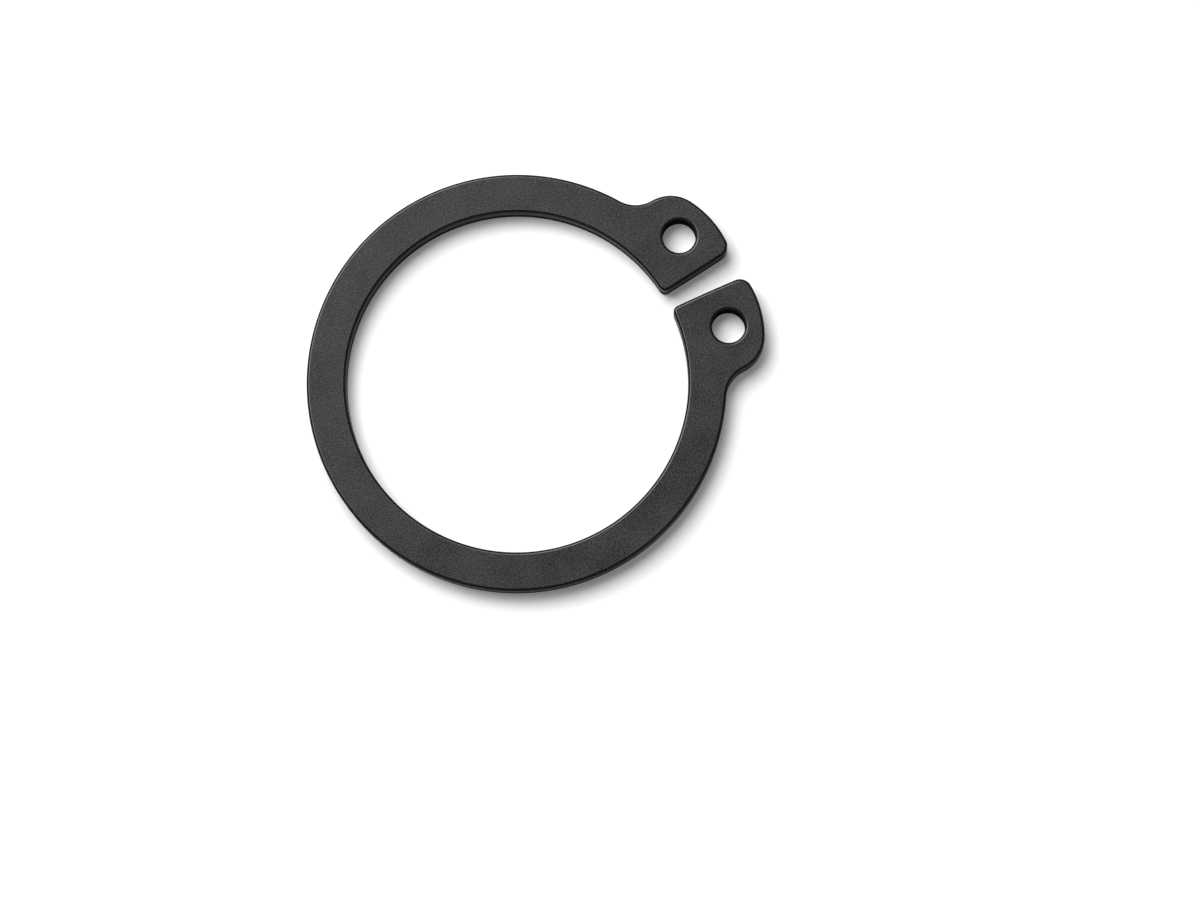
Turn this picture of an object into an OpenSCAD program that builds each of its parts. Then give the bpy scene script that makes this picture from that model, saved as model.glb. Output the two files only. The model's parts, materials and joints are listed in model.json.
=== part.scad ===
// External retaining ring for a shaft, stamped from one flat strip of spring steel.
// An open band grips the groove of the shaft, and ends in two lugs with holes for the pliers.
// The ring lies flat on z = 0. The axis of its bore is the Z axis, and the gap opens along +X.

/* [Ring] */
// Diameter of the bore while the ring is relaxed
bore_d = 20.5; // [16:0.5:30]
// Thickness of the strip
thickness = 1.75; // [1:0.05:2.5]
// Width of the band opposite the gap
band_back_w = 2.35; // [1.8:0.05:3]
// Width of the band where it meets the lugs
band_lug_w = 2.3; // [1.8:0.05:3]
// Radius that tumbling leaves on every edge
edge_r = 0.17; // [0.1:0.01:0.25]

/* [Lugs] */
// Height of a lug above the bore
lug_h = 5; // [4.5:0.1:6]
// Reach of a lug from the middle of the gap to its shoulder
lug_reach = 5.8; // [5.6:0.1:7]
// Radius of the crown, the long arc on the outside of a lug
crown_r = 6.25; // [5:0.25:7]
// Distance of the middle of the crown from the middle of the gap
crown_offset = 1.7; // [1.4:0.1:2]
// Radius of the shoulder that turns from the crown to the band
shoulder_r = 2.2; // [1.6:0.1:2.6]
// Radius of the hollow between the shoulder and the band
neck_r = 1.95; // [1.2:0.05:3]
// Radius of the corner between the crown and the end face
outer_corner_r = 0.75; // [0.4:0.05:1]
// Radius of the corner between the bore and the end face
inner_corner_r = 0.4; // [0.4:0.05:0.7]

/* [Gap] */
// Width of the gap at the bore
gap_w = 1.05; // [0.6:0.05:2]
// Width of the gap at the crowns
gap_out_w = 1.8; // [0.8:0.05:3]

/* [Plier holes] */
// Diameter of a plier hole
hole_d = 2; // [1.2:0.1:2.4]
// Height of the middle of a hole above the bore
hole_h = 2.85; // [2.6:0.05:3]
// Distance of the middle of a hole from the middle of the gap
hole_offset = 3.1; // [2.8:0.05:3.3]

/* [Hidden] */
$fn = 64;
steel_black = [0.26, 0.26, 0.27];
bore_r = bore_d / 2;
// The rim of the band is a circle whose centre lies a little behind the bore's
rim_r = bore_r + (band_back_w + band_lug_w) / 2;
rim_c = [-(band_back_w - band_lug_w) / 2, 0];
// The end faces are very flat arcs
end_r = 150;
// The outline is edged with strips this deep, and the core begins at this inset
strip_w = 0.8 * min(inner_corner_r, outer_corner_r);
core_inset = (edge_r + strip_w) / 2;

// Places on the upper lug

function unit(a) = [cos(a), sin(a)];
function heading(v) = atan2(v[1], v[0]);
// Point at a distance from the bore's axis and at an offset from the middle of the gap
function lug_point(radius, offset) = [sqrt(radius * radius - offset * offset), offset];
// Crossing of two circles, on the left of the line from c1 to c2
function crossing(c1, r1, c2, r2) =
    let (away = norm(c2 - c1), x = (r1 * r1 - r2 * r2 + away * away) / (2 * away), a = heading(c2 - c1))
    c1 + unit(a) * x + unit(a + 90) * sqrt(r1 * r1 - x * x);

hole_c = lug_point(bore_r + hole_h, hole_offset);
crown_c = lug_point(bore_r + lug_h - crown_r, crown_offset);
shoulder_y = lug_reach - shoulder_r;
shoulder_x = crown_c[0] + sqrt(pow(crown_r - shoulder_r, 2) - pow(shoulder_y - crown_offset, 2));
shoulder_c = [shoulder_x, shoulder_y];
neck_c = crossing(rim_c, rim_r + neck_r, shoulder_c, shoulder_r + neck_r);
end_c = crossing([bore_r, gap_w / 2], end_r, [bore_r + lug_h, gap_out_w / 2], end_r);
outer_c = crossing(end_c, end_r - outer_corner_r, crown_c, crown_r - outer_corner_r);
inner_c = crossing(end_c, end_r - inner_corner_r, [0, 0], bore_r + inner_corner_r);

// The outline as arcs that run into each other: centre, radius, first angle, last angle, and
// 1 where the steel lies inside the arc or -1 where it lies outside

end_start = heading(inner_c - end_c);
end_stop = heading(outer_c - end_c);
crown_start = heading(outer_c - crown_c);
crown_stop = heading(shoulder_c - crown_c);
neck_start = heading(shoulder_c - neck_c);
neck_stop = heading(rim_c - neck_c);
upper_lug = [
    [inner_c, inner_corner_r, heading(inner_c) - 180, end_start, 1],
    [end_c, end_r, end_start, end_stop, 1],
    [outer_c, outer_corner_r, end_stop, crown_start, 1],
    [crown_c, crown_r, crown_start, crown_stop, 1],
    [shoulder_c, shoulder_r, crown_stop, neck_start + 180, 1],
    [neck_c, neck_r, neck_start, neck_stop, -1],
];
rim = [rim_c, rim_r, neck_stop + 180, 180 - neck_stop, 1];
bore = [[0, 0], bore_r, 360 - heading(inner_c), heading(inner_c), -1];
function flipped(arc) = [[arc[0][0], -arc[0][1]], arc[1], -arc[3], -arc[2], arc[4]];
lower_lug = [for (i = [len(upper_lug) - 1:-1:0]) flipped(upper_lug[i])];
outline = concat(upper_lug, [rim], lower_lug, [bore]);
plier_hole = [hole_c, hole_d / 2, 0, 360, -1];

// Point at a share of the way along an arc, moved into the steel by an inset
function arc_point(arc, share, inset) =
    arc[0] + unit(arc[2] + (arc[3] - arc[2]) * share) * (arc[1] - arc[4] * inset);
// The line across the outline where arc i meets the one before it, from outside to inside
function joint(i) =
    let (arc = outline[i])
    [arc_point(arc, 0, -0.3), arc_point(arc, 0, strip_w)];
function steps(arc) = ceil(abs(arc[3] - arc[2]) / 6);
function between(arc, inset) = [for (i = [0.5:steps(arc)]) arc_point(arc, i / steps(arc), inset)];
function reversed(list) = [for (i = [len(list) - 1:-1:0]) list[i]];

// Places something to more digits than one move keeps
module put(at) {
    near = [round(at[0] * 100) / 100, round(at[1] * 100) / 100];
    translate(near) translate(at - near) children();
}

// Section across an edge: round on the left, square on the right
module edge_section() {
    difference() {
        square([1.1 * strip_w, thickness]);
        for (z = [0, thickness])
            mirror([0, z]) translate([0, -z]) edge_corner();
    }
}

// What tumbling takes off the lower left corner of a section
module edge_corner() {
    difference() {
        square(edge_r);
        translate([edge_r, edge_r]) circle(edge_r);
    }
}

// Edge of a whole or part turn around a centre
module turned_edge(arc, spare_a) {
    turn = min(360, abs(arc[3] - arc[2]) + 2 * spare_a);
    put(arc[0])
        rotate_extrude(angle = turn, start = turn < 360 ? min(arc[2], arc[3]) - spare_a : 0)
            translate([arc[1], 0]) mirror([arc[4] > 0 ? 1 : 0, 0]) edge_section();
}

// Rounded edge along arc i of the outline, cut off square at both joints
module arc_edge(i) {
    arc = outline[i];
    first = joint(i);
    last = joint((i + 1) % len(outline));
    cell = concat([first[1], first[0]], between(arc, -0.3), last, reversed(between(arc, strip_w)));
    intersection() {
        turned_edge(arc, min(20, 30 / arc[1]));
        translate([0, 0, -1]) linear_extrude(thickness + 2) polygon(cell);
    }
}

// Plain steel inside the edges
module core() {
    linear_extrude(thickness)
        difference() {
            polygon([for (arc = outline) each between(arc, core_inset)]);
            for (y = [hole_c[1], -hole_c[1]])
                translate([hole_c[0], y]) circle(d = hole_d + 2 * core_inset);
        }
}

// The core with its first arcs of edge, joined to it one after another
module body_to(last) {
    if (last < 0)
        core();
    else
        union() {
            body_to(last - 1);
            arc_edge(last);
        }
}

// The whole ring, one stamping
module retaining_ring() {
    color(steel_black)
        union() {
            body_to(len(outline) - 1);
            turned_edge(plier_hole, 0);
            turned_edge(flipped(plier_hole), 0);
        }
}

retaining_ring();
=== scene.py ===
# %% [markdown]
# # A retaining ring in black phosphated spring steel
#
# The real ring is a flat, open band that ends in two lugs. It is stamped from spring-steel strip,
# hardened, tumbled until its edges are round, phosphated black and oiled. This lesson loads the
# measured ring, draws a finer one in its place by hand, gives it the black finish, and lights it
# like a product photograph.

# %% Load the measured ring
import json
from math import ceil, cos, pi, radians, sin

import bpy
from mathutils import Matrix, Vector

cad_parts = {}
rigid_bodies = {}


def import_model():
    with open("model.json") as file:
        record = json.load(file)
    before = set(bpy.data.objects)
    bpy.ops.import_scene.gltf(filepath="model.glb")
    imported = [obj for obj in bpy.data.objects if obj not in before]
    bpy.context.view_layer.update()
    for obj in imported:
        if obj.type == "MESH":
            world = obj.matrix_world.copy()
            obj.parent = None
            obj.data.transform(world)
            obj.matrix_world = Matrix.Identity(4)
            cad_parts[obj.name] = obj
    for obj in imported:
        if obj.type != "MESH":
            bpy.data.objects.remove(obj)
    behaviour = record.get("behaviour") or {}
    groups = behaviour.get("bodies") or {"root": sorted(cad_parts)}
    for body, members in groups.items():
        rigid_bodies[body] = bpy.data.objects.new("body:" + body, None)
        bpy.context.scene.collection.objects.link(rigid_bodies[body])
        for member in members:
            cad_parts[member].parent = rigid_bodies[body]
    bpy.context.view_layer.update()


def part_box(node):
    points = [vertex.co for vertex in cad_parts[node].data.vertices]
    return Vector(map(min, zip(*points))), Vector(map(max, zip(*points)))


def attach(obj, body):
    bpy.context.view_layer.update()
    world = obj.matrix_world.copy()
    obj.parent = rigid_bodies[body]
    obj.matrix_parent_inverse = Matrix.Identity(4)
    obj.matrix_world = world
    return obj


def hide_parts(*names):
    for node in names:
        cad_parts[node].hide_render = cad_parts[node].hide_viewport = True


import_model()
low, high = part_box("retaining_ring")
print("measured ring, mm:", [round(v * 1000, 3) for v in high - low])

# %% [markdown]
# ## Sizes
#
# Blender works in metres here, so a size in millimetres is written with `* MM`. The overall sizes
# are read from the measured ring. The rest are the sizes of the stamping die. The rim of the band
# is a circle whose centre lies a little behind the bore's, so the band is widest opposite the gap.
# The ring is the same on both sides of the gap, so only the upper half is worked out.

# %% Name the sizes of the ring
MM = 0.001
TOUCH = 0.001 * MM  # points nearer to each other than this are one
thickness = high.z - low.z
edge_radius = 0.17 * MM
bore_radius = 10.25 * MM
gap_at_bore, gap_at_crown = 1.05 * MM, 1.8 * MM
lug_height = 5 * MM
lug_reach = 5.8 * MM
crown_radius, crown_offset = 6.25 * MM, 1.7 * MM
shoulder_radius, neck_radius = 2.2 * MM, 1.95 * MM
outer_corner_radius, inner_corner_radius = 0.75 * MM, 0.4 * MM
end_radius = 150 * MM  # the end faces are almost flat
rim_radius = (high.y - low.y) / 2
rim_centre = Vector((low.x + rim_radius, 0))
hole_radius = 1 * MM
hole_height, hole_offset = 2.85 * MM, 3.1 * MM
print("rim radius, mm:", round(rim_radius / MM, 3), "thickness, mm:", round(thickness / MM, 3))

# %% [markdown]
# ## Where the arcs of the outline lie
#
# A die maker draws such an outline with arcs that touch without a kink. Two arcs touch where their
# centres and the touching point lie on one line. So the centre of an arc that touches two others
# is found at a known distance from each of theirs, which is the crossing of two circles.

# %% Find the centres of the arcs


def crossing(centre_1, radius_1, centre_2, radius_2):
    """Crossing of two circles, on the left of the way from the first to the second."""
    across = centre_2 - centre_1
    along = (radius_1**2 - radius_2**2 + across.length_squared) / (2 * across.length)
    way = across.normalized()
    return centre_1 + way * along + Vector((-way.y, way.x)) * (radius_1**2 - along**2) ** 0.5


def beside_gap(radius, offset):
    """Point at a distance from the bore's axis and at an offset from the middle of the gap."""
    return Vector(((radius**2 - offset**2) ** 0.5, offset))


bore_centre = Vector((0, 0))
hole_centre = beside_gap(bore_radius + hole_height, hole_offset)
crown_centre = beside_gap(bore_radius + lug_height - crown_radius, crown_offset)
shoulder_centre = Vector((0, lug_reach - shoulder_radius))
shoulder_rise = shoulder_centre.y - crown_centre.y
shoulder_away = ((crown_radius - shoulder_radius) ** 2 - shoulder_rise**2) ** 0.5
shoulder_centre.x = crown_centre.x + shoulder_away
neck_centre = crossing(
    rim_centre, rim_radius + neck_radius, shoulder_centre, shoulder_radius + neck_radius
)
end_centre = crossing(
    Vector((bore_radius, gap_at_bore / 2)),
    end_radius,
    Vector((bore_radius + lug_height, gap_at_crown / 2)),
    end_radius,
)
inner_corner = crossing(
    end_centre, end_radius - inner_corner_radius, bore_centre, bore_radius + inner_corner_radius
)
outer_corner = crossing(
    end_centre, end_radius - outer_corner_radius, crown_centre, crown_radius - outer_corner_radius
)
print("plier hole centre, mm:", [round(v / MM, 3) for v in hole_centre])

# %% [markdown]
# ## The profile of an edge
#
# A stamped edge is sharp on one face and slightly rolled on the other, and tumbling with stones
# rounds both. Bevel could round the finished blank, but on a large flat face full of triangles it
# leaves spikes at tight corners. So the edge is drawn first, as its section: a quarter turn from
# the upper face, the straight wall, and a quarter turn to the under face. A plane whose corners
# are merged is a single vertex, and Spin and Extrude draw with it. The object starts empty at the
# origin, so that the ring's place ends up in its mesh.

# %% Draw the section of a rounded edge
ROUNDING_STEPS = 6

bpy.ops.object.select_all(action="DESELECT")
bpy.ops.mesh.primitive_plane_add(size=MM)
ring = bpy.context.active_object
ring.name = ring.data.name = "ring"
bpy.ops.object.mode_set(mode="EDIT")
bpy.ops.mesh.select_mode(type="VERT")
bpy.ops.mesh.delete(type="VERT")


def draw_edge_profile(wall, into_steel):
    """Section of the edge at a point of the wall, left selected. into_steel is a unit vector."""
    middle = wall + into_steel * edge_radius
    axis = (into_steel.y, -into_steel.x, 0)
    quarter = {"steps": ROUNDING_STEPS, "angle": -pi / 2, "axis": axis}
    bpy.ops.mesh.primitive_plane_add(size=MM, location=(middle.x, middle.y, high.z))
    bpy.ops.mesh.merge(type="CENTER")
    bpy.ops.mesh.spin(center=(middle.x, middle.y, high.z - edge_radius), **quarter)
    wall_height = thickness - 2 * edge_radius
    bpy.ops.mesh.extrude_region_move(TRANSFORM_OT_translate={"value": (0, 0, -wall_height)})
    bpy.ops.mesh.spin(center=(middle.x, middle.y, low.z + edge_radius), **quarter)
    bpy.ops.mesh.select_linked()


# %% [markdown]
# ## Lead the profile along the outline
#
# Spin turns the selected profile round a centre and leaves a wall of faces behind. It starts on
# the bore opposite the gap, and each spin goes on where the last one ended: bore, inner corner,
# end face, outer corner, crown, shoulder, neck and rim. The arcs touch without a kink, so the
# profile always stands square to the outline. Steps of 0.3 mm and of 6 degrees at most keep the
# arcs round in a close view.

# %% Spin along the upper half
LONGEST_STEP, WIDEST_STEP = 0.3 * MM, radians(6)


def turn_between(centre, start, stop, clockwise):
    """Angle from one point to another round a centre. Clockwise is positive, as in Spin."""
    angle = (start - centre).angle_signed(stop - centre)
    return angle % (2 * pi) if clockwise else -(-angle % (2 * pi))


def on_circle(centre, radius, from_centre):
    """Point of a circle straight beyond its centre, seen from another centre."""
    return centre + (centre - from_centre).normalized() * radius


def spin_round(centre, turn, radius):
    """Leads the selected profile round a centre in short steps."""
    steps = max(ceil(abs(turn) / WIDEST_STEP), ceil(abs(turn) * radius / LONGEST_STEP))
    bpy.ops.mesh.spin(steps=steps, angle=turn, center=(centre.x, centre.y, 0), axis=(0, 0, 1))


route = [  # centre of the arc, its end, and whether it goes clockwise
    (bore_centre, inner_corner.normalized() * bore_radius, True),
    (inner_corner, on_circle(inner_corner, inner_corner_radius, end_centre), False),
    (end_centre, on_circle(outer_corner, outer_corner_radius, end_centre), False),
    (outer_corner, on_circle(outer_corner, outer_corner_radius, crown_centre), False),
    (crown_centre, on_circle(shoulder_centre, shoulder_radius, crown_centre), False),
    (shoulder_centre, on_circle(shoulder_centre, -shoulder_radius, neck_centre), False),
    (neck_centre, on_circle(neck_centre, -neck_radius, rim_centre), True),
    (rim_centre, Vector((low.x, 0)), False),
]
here = Vector((-bore_radius, 0))
draw_edge_profile(here, Vector((-1, 0)))
for centre, end, clockwise in route:
    spin_round(centre, turn_between(centre, here, end, clockwise), (end - centre).length)
    here = end
ring.update_from_editmode()
print("half edge:", len(ring.data.polygons), "faces")
off_plane = min(abs(v.co.y) for v in ring.data.vertices if v.select)
print("it ends off the mirror plane by, mm:", off_plane / MM)

# %% [markdown]
# ## Plier hole, mirror image and flat faces
#
# The plier hole has the same edge, led once round its centre. The lower half of the ring is the
# mirror image, so a Mirror modifier makes it and joins the halves where they meet. What is left
# open are the two flat faces. Their rims are the edges at the full height and at height 0, and
# Fill closes the face between the outline and the two holes.

# %% Add the hole, mirror, and fill the faces
draw_edge_profile(hole_centre + Vector((hole_radius, 0)), Vector((1, 0)))
spin_round(hole_centre, 2 * pi, hole_radius)
bpy.ops.mesh.select_all(action="SELECT")
bpy.ops.mesh.remove_doubles(threshold=TOUCH)
bpy.ops.object.mode_set(mode="OBJECT")

mirror = ring.modifiers.new("lower half", "MIRROR")
mirror.use_axis = (False, True, False)
mirror.merge_threshold = TOUCH
bpy.ops.object.modifier_apply(modifier=mirror.name)

for level in (high.z, low.z):
    bpy.ops.object.mode_set(mode="EDIT")
    bpy.ops.mesh.select_mode(type="EDGE")
    bpy.ops.mesh.select_all(action="DESELECT")
    bpy.ops.object.mode_set(mode="OBJECT")
    heights = [v.co.z for v in ring.data.vertices]
    for edge in ring.data.edges:
        edge.select = all(abs(heights[v] - level) < TOUCH for v in edge.vertices)
    bpy.ops.object.mode_set(mode="EDIT")
    bpy.ops.mesh.fill(use_beauty=True)
bpy.ops.mesh.select_all(action="SELECT")
bpy.ops.mesh.normals_make_consistent(inside=False)
bpy.ops.object.mode_set(mode="OBJECT")
print("ring:", len(ring.data.polygons), "faces, mm:", [round(v / MM, 3) for v in ring.dimensions])

# %% [markdown]
# ## Smooth shading
#
# Smooth shading hides the facets of the arcs, but it averages the faces that meet at a vertex, so
# it also bends the light where a flat face or an upright wall meets its rounding. There the true
# direction is known: straight up, straight down, or level. It is set as a custom normal, so that
# the flats and walls stay as they are and only the roundings between them look round.

# %% Shade the edges round and the faces flat
FLAT = cos(radians(2))  # upright share of a normal that leans by 2 degrees

bpy.ops.object.shade_smooth()
normals = [vertex.normal.copy() for vertex in ring.data.vertices]
for vertex, normal in zip(ring.data.vertices, normals):
    from_face = min(high.z - vertex.co.z, vertex.co.z - low.z)
    if from_face < TOUCH:
        normal.xy = 0, 0
    elif from_face > edge_radius - TOUCH:
        normal.z = 0
    normal.normalize()
ring.data.normals_split_custom_set_from_vertices(normals)
upper_faces = [face for face in ring.data.polygons if face.normal.z > FLAT]
upright_shares = [ring.data.corner_normals[i].vector.z for f in upper_faces for i in f.loop_indices]
print("least upright share of the upper face's normals:", round(min(upright_shares), 5))
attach(ring, "root")
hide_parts("retaining_ring")

# %% [markdown]
# ## The finish: phosphated spring steel
#
# Phosphating grows a dark grey skin of fine crystals on the steel, and oil turns it near black.
# The skin is no bare metal, so Metallic stays 0 and the gloss is weak. It shows a fine speckle of
# crystals, and faint clouds where the oil lies thicker. All patterns use Object coordinates, in
# metres, so a pattern with features of a given size has one over that size as its scale.
#
# The inputs of a Mix node share their names, so they go by number: 0 is the share of the second
# input, 2 and 3 are the two numbers that it mixes, and 6 and 7 the two colours. The mixed number
# comes out of output 0, and the mixed colour out of output 2.

# %% Colours and one helper for nodes


def colour(hex_code):
    """sRGB hex value as the linear colour that Blender works with."""
    channels = [int(hex_code[i : i + 2], 16) / 255 for i in (1, 3, 5)]
    return [c / 12.92 if c <= 0.04045 else ((c + 0.055) / 1.055) ** 2.4 for c in channels] + [1]


def add_node(tree, kind, sockets=None, **settings):
    """Adds a node. sockets maps an input to a value or to the output that feeds it."""
    node = tree.nodes.new("ShaderNode" + kind)
    for name, value in settings.items():
        setattr(node, name, value)
    for name, value in (sockets or {}).items():
        if isinstance(value, bpy.types.NodeSocket):
            tree.links.new(value, node.inputs[name])
        else:
            node.inputs[name].default_value = value
    return node


def new_material(name):
    """Empty node material, its tree and its output node."""
    material = bpy.data.materials.new(name)
    material.use_nodes = True
    material.node_tree.nodes.clear()
    return material, material.node_tree, add_node(material.node_tree, "OutputMaterial")


print("a grey of #808080 is, in linear light:", round(colour("#808080")[0], 3))

# %% [markdown]
# ## Crystals and oil
#
# Every part of the ring shows the same crystals, and all but the plier holes their colour too. So
# two helpers make the patterns and the colour, and each finish takes what it needs.

# %% The skin of crystals and oil
# Real crystals are a hundredth of a millimetre across. They are drawn larger, so that they show.
CRYSTAL_SIZE = 0.08 * MM
CLOUD_SIZE = 2.2 * MM


def crystal_patterns(tree):
    """Object coordinates, and the speckle and the clouds of the skin."""
    place = add_node(tree, "TexCoord").outputs["Object"]
    fine = {"Vector": place, "Scale": 1 / CRYSTAL_SIZE, "Detail": 3, "Roughness": 0.7}
    coarse = {"Vector": place, "Scale": 1 / CLOUD_SIZE, "Detail": 1, "Roughness": 0.55}
    speckle, clouds = [add_node(tree, "TexNoise", noise).outputs["Fac"] for noise in (fine, coarse)]
    return {"place": place, "speckle": speckle, "clouds": clouds}


def skin_colour(tree, patterns):
    """Near black under oil and dark grey where the crystals stand out."""
    blend = {0: 0.15, 2: patterns["speckle"], 3: patterns["clouds"]}
    both = add_node(tree, "Mix", blend, data_type="FLOAT").outputs[0]
    share = add_node(tree, "MapRange", {"Value": both, "From Min": 0.4, "From Max": 0.6}).outputs[0]
    shades = {0: share, 6: colour("#0A0A0B"), 7: colour("#454548")}
    return add_node(tree, "Mix", shades, data_type="RGBA").outputs[2]


print("crystals, mm:", CRYSTAL_SIZE / MM, "clouds, mm:", CLOUD_SIZE / MM)

# %% [markdown]
# ## Rolled faces
#
# The faces come from the rolling mill. The skin is fine and even there and has a faint satin
# gloss, which is what makes the side of the ring towards the lamp a little lighter.

# %% Finish of the faces
face_steel, tree, output = new_material("phosphated_rolled_steel")
patterns = crystal_patterns(tree)
satin = {"Value": patterns["clouds"], "From Min": 0.3, "From Max": 0.7, "To Min": 0.32, "To Max": 0.4}
grain = {"Height": patterns["speckle"], "Strength": 0.5, "Distance": 0.006 * MM}
shader = add_node(
    tree,
    "BsdfPrincipled",
    {
        "Base Color": skin_colour(tree, patterns),
        "Roughness": add_node(tree, "MapRange", satin).outputs[0],
        "Normal": add_node(tree, "Bump", grain).outputs[0],
        "Specular IOR Level": 0.1,
    },
)
tree.links.new(shader.outputs[0], output.inputs["Surface"])
print(face_steel.name, "has", len(tree.nodes), "nodes")

# %% [markdown]
# ## Rubbed edges
#
# On the rounded edges the tumbling stones have rubbed the crystals smooth. Their colour is painted
# nearly black all round, as painted shade for the dark line where an edge leans away from the
# lamp. A smooth edge catches the lamp as a thin bright line where it leans towards it.

# %% Finish of the edges
edge_steel, tree, output = new_material("phosphated_rubbed_edge")
patterns = crystal_patterns(tree)
# Painted shade: on every rounded edge the skin is mixed 85 percent towards near black.
painted_edge_shade = {0: 0.85, 6: skin_colour(tree, patterns), 7: colour("#0A0A0B")}
gloss = {"Value": patterns["speckle"], "From Min": 0.3, "From Max": 0.7, "To Min": 0.14, "To Max": 0.22}
grain = {"Height": patterns["speckle"], "Strength": 0.3, "Distance": 0.004 * MM}
shader = add_node(
    tree,
    "BsdfPrincipled",
    {
        "Base Color": add_node(tree, "Mix", painted_edge_shade, data_type="RGBA").outputs[2],
        "Roughness": add_node(tree, "MapRange", gloss).outputs[0],
        "Normal": add_node(tree, "Bump", grain).outputs[0],
        "Specular IOR Level": 0.36,
    },
)
tree.links.new(shader.outputs[0], output.inputs["Surface"])
print(edge_steel.name, "has", len(tree.nodes), "nodes")

# %% [markdown]
# ## Sheared and torn walls
#
# The punch shears the upper part of the wall smooth and tears the rest, and both leave upright
# lines. The torn part is rough. The wall is painted darker towards its foot, as painted shade
# where it meets the table. Object coordinates start at the under face, so their Z is the height
# that parts the two. The border between them wanders up and down a little.

# %% Finish of the walls
LINE_SIZE, LINE_STRETCH = 0.08 * MM, 0.06  # the lines run over the whole height of the wall
TORN_BELOW, SHEARED_ABOVE, WANDER = 0.5 * MM, 0.9 * MM, 0.15 * MM

wall_steel, tree, output = new_material("phosphated_sheared_steel")
patterns = crystal_patterns(tree)
stretch = {"Vector": patterns["place"], "Scale": (1, 1, LINE_STRETCH)}
stretched = add_node(tree, "Mapping", stretch).outputs[0]
noise = {"Vector": stretched, "Scale": 1 / LINE_SIZE, "Detail": 2}
lines = add_node(tree, "TexNoise", noise).outputs["Fac"]

wander = add_node(tree, "MapRange", {"Value": lines, "To Min": -WANDER, "To Max": WANDER}).outputs[0]
height = add_node(tree, "SeparateXYZ", {0: patterns["place"]}).outputs["Z"]
moved = add_node(tree, "Math", {0: height, 1: wander}, operation="ADD").outputs[0]
border = {"Value": moved, "From Min": TORN_BELOW, "From Max": SHEARED_ABOVE}
sheared = add_node(tree, "MapRange", border).outputs[0]
print("torn below, mm:", TORN_BELOW / MM, "sheared above, mm:", SHEARED_ABOVE / MM)

# %% Shades and gloss of the walls
streak_shades = {0: lines, 6: colour("#0C0C0D"), 7: colour("#303032")}
streaks = add_node(tree, "Mix", streak_shades, data_type="RGBA").outputs[2]
streaked_skin = {0: 0.5, 6: skin_colour(tree, patterns), 7: streaks}
sheared_colour = add_node(tree, "Mix", streaked_skin, data_type="RGBA").outputs[2]
# Painted shade: near black at the foot of the wall, below the sheared part.
shades = {0: sheared, 6: colour("#070708"), 7: sheared_colour}
gloss = {"Value": sheared, "To Min": 0.9, "To Max": 0.3}
relief = {"Height": lines, "Strength": 0.5, "Distance": 0.01 * MM}
shader = add_node(
    tree,
    "BsdfPrincipled",
    {
        "Base Color": add_node(tree, "Mix", shades, data_type="RGBA").outputs[2],
        "Roughness": add_node(tree, "MapRange", gloss).outputs[0],
        "Normal": add_node(tree, "Bump", relief).outputs[0],
        "Specular IOR Level": 0.01,
    },
)
tree.links.new(shader.outputs[0], output.inputs["Surface"])
print(wall_steel.name, "has", len(tree.nodes), "nodes")

# %% [markdown]
# ## Pierced walls
#
# A plier hole is about as narrow as the strip is thick. The stones of the tumbler don't reach into
# it, so its wall has no gloss. The wall is painted darker than the rest of the ring, as painted
# shade inside the hole.

# %% Finish of the plier holes
hole_steel, tree, output = new_material("phosphated_pierced_steel")
patterns = crystal_patterns(tree)
# Painted shade: the hole's wall is darker than the skin elsewhere, with its speckle.
painted_hole_shade = {0: patterns["speckle"], 6: colour("#0F0F0F"), 7: colour("#333334")}
grain = {"Height": patterns["speckle"], "Strength": 0.5, "Distance": 0.008 * MM}
shader = add_node(
    tree,
    "BsdfPrincipled",
    {
        "Base Color": add_node(tree, "Mix", painted_hole_shade, data_type="RGBA").outputs[2],
        "Roughness": 0.9,
        "Normal": add_node(tree, "Bump", grain).outputs[0],
        "Specular IOR Level": 0,
    },
)
tree.links.new(shader.outputs[0], output.inputs["Surface"])
print(hole_steel.name, "has", len(tree.nodes), "nodes")

# %% [markdown]
# ## Which face of the mesh gets which finish
#
# The finishes differ by how far the surface leans: flat, up to 50 degrees, or steeper. At a plier
# hole the darker finish of the hole starts at 30 degrees, so its painted shade reaches further
# into the rounded edge.

# %% Give out the finishes
# At a plier hole the darker finish, painted shade, begins at 30 degrees.
STEEP, STEEP_IN_HOLE = cos(radians(50)), cos(radians(30))
finishes = [face_steel, edge_steel, wall_steel, hole_steel]
FACE, EDGE, WALL, HOLE = range(len(finishes))

for finish in finishes:
    ring.data.materials.append(finish)
for face in ring.data.polygons:
    upright_share = abs(face.normal.z)
    from_hole = (Vector((face.center.x, abs(face.center.y))) - hole_centre).length
    in_hole = from_hole < hole_radius + edge_radius
    if upright_share > FLAT:
        face.material_index = FACE
    elif upright_share > (STEEP_IN_HOLE if in_hole else STEEP):
        face.material_index = EDGE
    else:
        face.material_index = HOLE if in_hole else WALL
for index, finish in enumerate(finishes):
    count = sum(face.material_index == index for face in ring.data.polygons)
    print(finish.name, "on", count, "faces of the mesh")

# %% [markdown]
# ## The camera
#
# The photograph looks almost straight down: the camera leans back by 6.7 degrees and stands
# 242 mm away, behind a long lens. The ring is turned so that its gap points up to the right. The
# directions "right" and "up" of the picture on the table serve the lamp too.

# %% Set up the camera
GAP_ANGLE = radians(28.43)  # of the gap above the picture's right
LEAN = radians(6.73)
LEAN_TURN = radians(5.1)  # the camera leans about a line that is turned this much
DISTANCE = 241.6 * MM
PIXELS_PER_MM, PICTURE_WIDTH = 16.607, 1200
AIM_RIGHT, AIM_UP = 4.951 * MM, -3.905 * MM  # from the bore's centre to the middle of the picture

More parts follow.
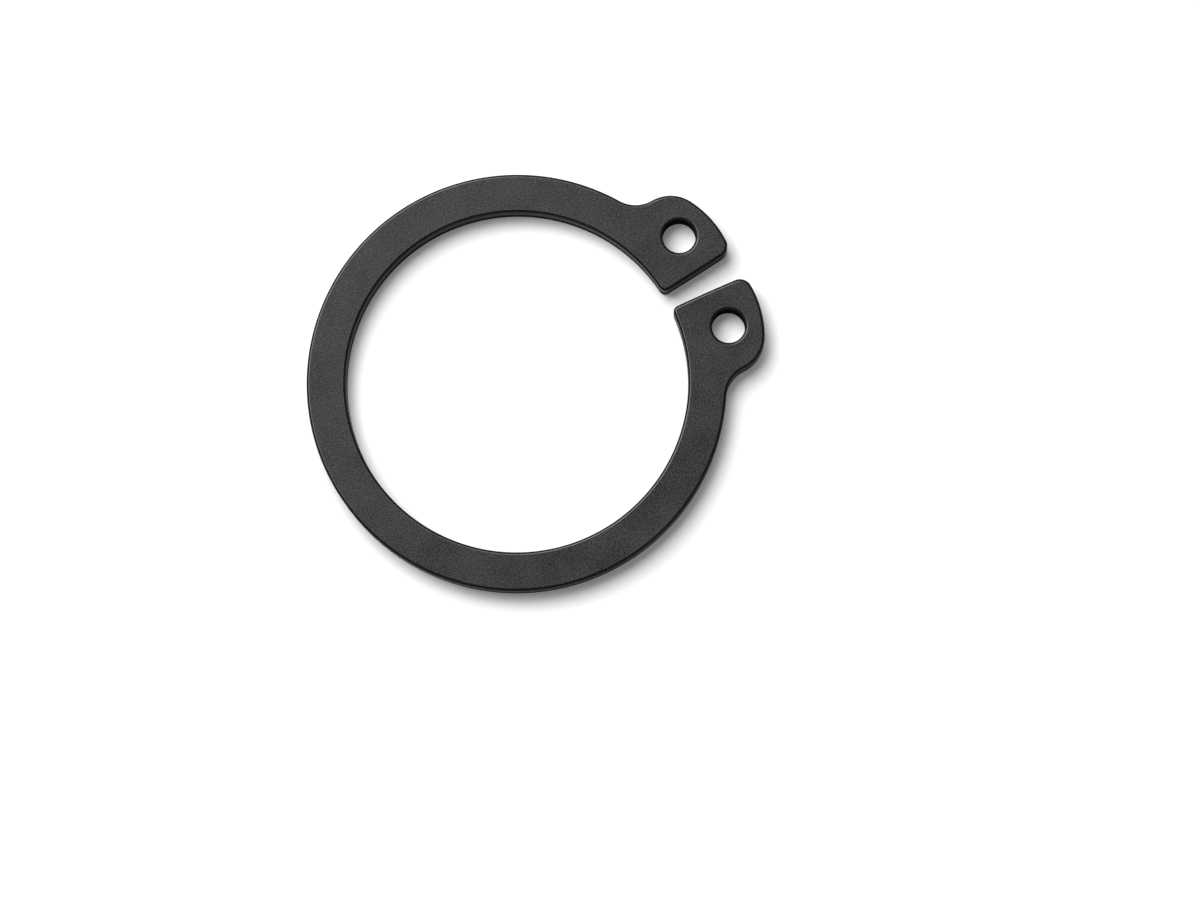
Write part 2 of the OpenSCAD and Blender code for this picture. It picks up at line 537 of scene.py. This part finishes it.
picture_right = Vector((cos(-GAP_ANGLE), sin(-GAP_ANGLE), 0))
picture_up = Vector((-picture_right.y, picture_right.x, 0))
upright = Vector((0, 0, 1))
lean_line = picture_right * cos(LEAN_TURN) + picture_up * sin(LEAN_TURN)
across = upright.cross(lean_line)
camera_back = upright * cos(LEAN) - across * sin(LEAN)
camera_top = across * cos(LEAN) + upright * sin(LEAN)
frame_right = lean_line * cos(LEAN_TURN) - camera_top * sin(LEAN_TURN)
frame_top = lean_line * sin(LEAN_TURN) + camera_top * cos(LEAN_TURN)

lens = bpy.data.cameras.new("camera")
lens.sensor_width = 36
lens.lens = PIXELS_PER_MM * (DISTANCE / MM) / PICTURE_WIDTH * lens.sensor_width
lens.clip_start, lens.clip_end = 1 * MM, 10
camera = bpy.data.objects.new("camera", lens)
bpy.context.collection.objects.link(camera)
stand = camera_back * DISTANCE + frame_right * AIM_RIGHT + frame_top * AIM_UP
turned = Matrix((frame_right, frame_top, camera_back)).transposed()
camera.matrix_world = Matrix.Translation(stand) @ turned.to_4x4()
bpy.context.scene.camera = camera
print("lens, mm:", round(lens.lens, 1))

# %% [markdown]
# ## The table
#
# The ring lies on a large sheet of white, matt paper. The camera also sees a faint glow on it.
# Near the ring the glow keeps the shadows as light as in the photograph. Further out it grows,
# because a lamp this near gets weaker towards the corners of the picture, and the photograph
# stays white there. Only the camera and reflections see it, so it sheds no light on the ring.

# %% Lay the table
TABLE_SIZE = 2
TABLE_GAP = 0.01 * MM  # two faces in one plane would show as noise
NEAR, FAR = 16 * MM, 50 * MM
GLOW_NEAR, GLOW_FAR = 0.13, 0.4

bpy.ops.object.select_all(action="DESELECT")
bpy.ops.mesh.primitive_plane_add(size=TABLE_SIZE, location=(0, 0, low.z - TABLE_GAP))
table = bpy.context.active_object
table.name = table.data.name = "table"
white, tree, output = new_material("white_table")
path = add_node(tree, "LightPath").outputs
seen = path["Is Camera Ray"]
for ray in ("Is Glossy Ray", "Is Transmission Ray"):
    seen = add_node(tree, "Math", {0: seen, 1: path[ray]}, operation="MAXIMUM").outputs[0]
spot = add_node(tree, "TexCoord").outputs["Object"]
away = add_node(tree, "VectorMath", {0: spot}, operation="LENGTH").outputs["Value"]
growth = {"Value": away, "From Min": NEAR, "From Max": FAR, "To Min": GLOW_NEAR, "To Max": GLOW_FAR}
strength = add_node(tree, "MapRange", growth, interpolation_type="SMOOTHSTEP").outputs[0]
glow = add_node(tree, "Math", {0: seen, 1: strength}, operation="MULTIPLY").outputs[0]
paper = add_node(tree, "BsdfDiffuse", {"Color": colour("#FCFCFC")}).outputs[0]
shine = add_node(tree, "Emission", {"Strength": glow}).outputs[0]
both = add_node(tree, "AddShader", {0: paper, 1: shine}).outputs[0]
tree.links.new(both, output.inputs["Surface"])
table.data.materials.append(white)
print("table, m:", TABLE_SIZE, "glow near the ring:", GLOW_NEAR, "and further out:", GLOW_FAR)

# %% [markdown]
# ## The light
#
# One large soft lamp stands at the upper left and throws the short soft shadows to the lower
# right. A dim sky lights them a little from all sides.

# %% Light the sky and the lamp
LIGHT = 1.22  # of sky and lamp together, where 1 makes white paper white
SKY = 0.12  # the sky's part of it

world = bpy.data.worlds.new("dim_sky")
bpy.context.scene.world = world
world.use_nodes = True
tree = world.node_tree
tree.nodes.clear()
sky = add_node(tree, "Background", {"Color": (1, 1, 1, 1), "Strength": SKY}).outputs[0]
tree.links.new(sky, add_node(tree, "OutputWorld").inputs["Surface"])

LAMP_DISTANCE, LAMP_SIZE = 300 * MM, 205 * MM
LAMP_TILT = radians(27)  # from straight overhead
LAMP_SIDE = radians(129)  # in the picture, anticlockwise from its right
lamp_foot = picture_right * cos(LAMP_SIDE) + picture_up * sin(LAMP_SIDE)
towards_lamp = lamp_foot * sin(LAMP_TILT) + upright * cos(LAMP_TILT)
lamp = bpy.data.lights.new("softbox", "AREA")
lamp.shape = "SQUARE"
lamp.size = LAMP_SIZE
# The power is that of a small lamp which gives the table its part of the light from there. As
# this one is large, its rims are further away, and it gives a little less.
lamp.energy = (LIGHT - SKY) * pi**2 * LAMP_DISTANCE**2 / cos(LAMP_TILT)
softbox = bpy.data.objects.new("softbox", lamp)
bpy.context.collection.objects.link(softbox)
softbox.location = towards_lamp * LAMP_DISTANCE
softbox.rotation_euler = towards_lamp.to_track_quat("Z", "Y").to_euler()
bpy.context.scene.view_settings.view_transform = "Standard"
print("lamp, W:", round(lamp.energy, 3))
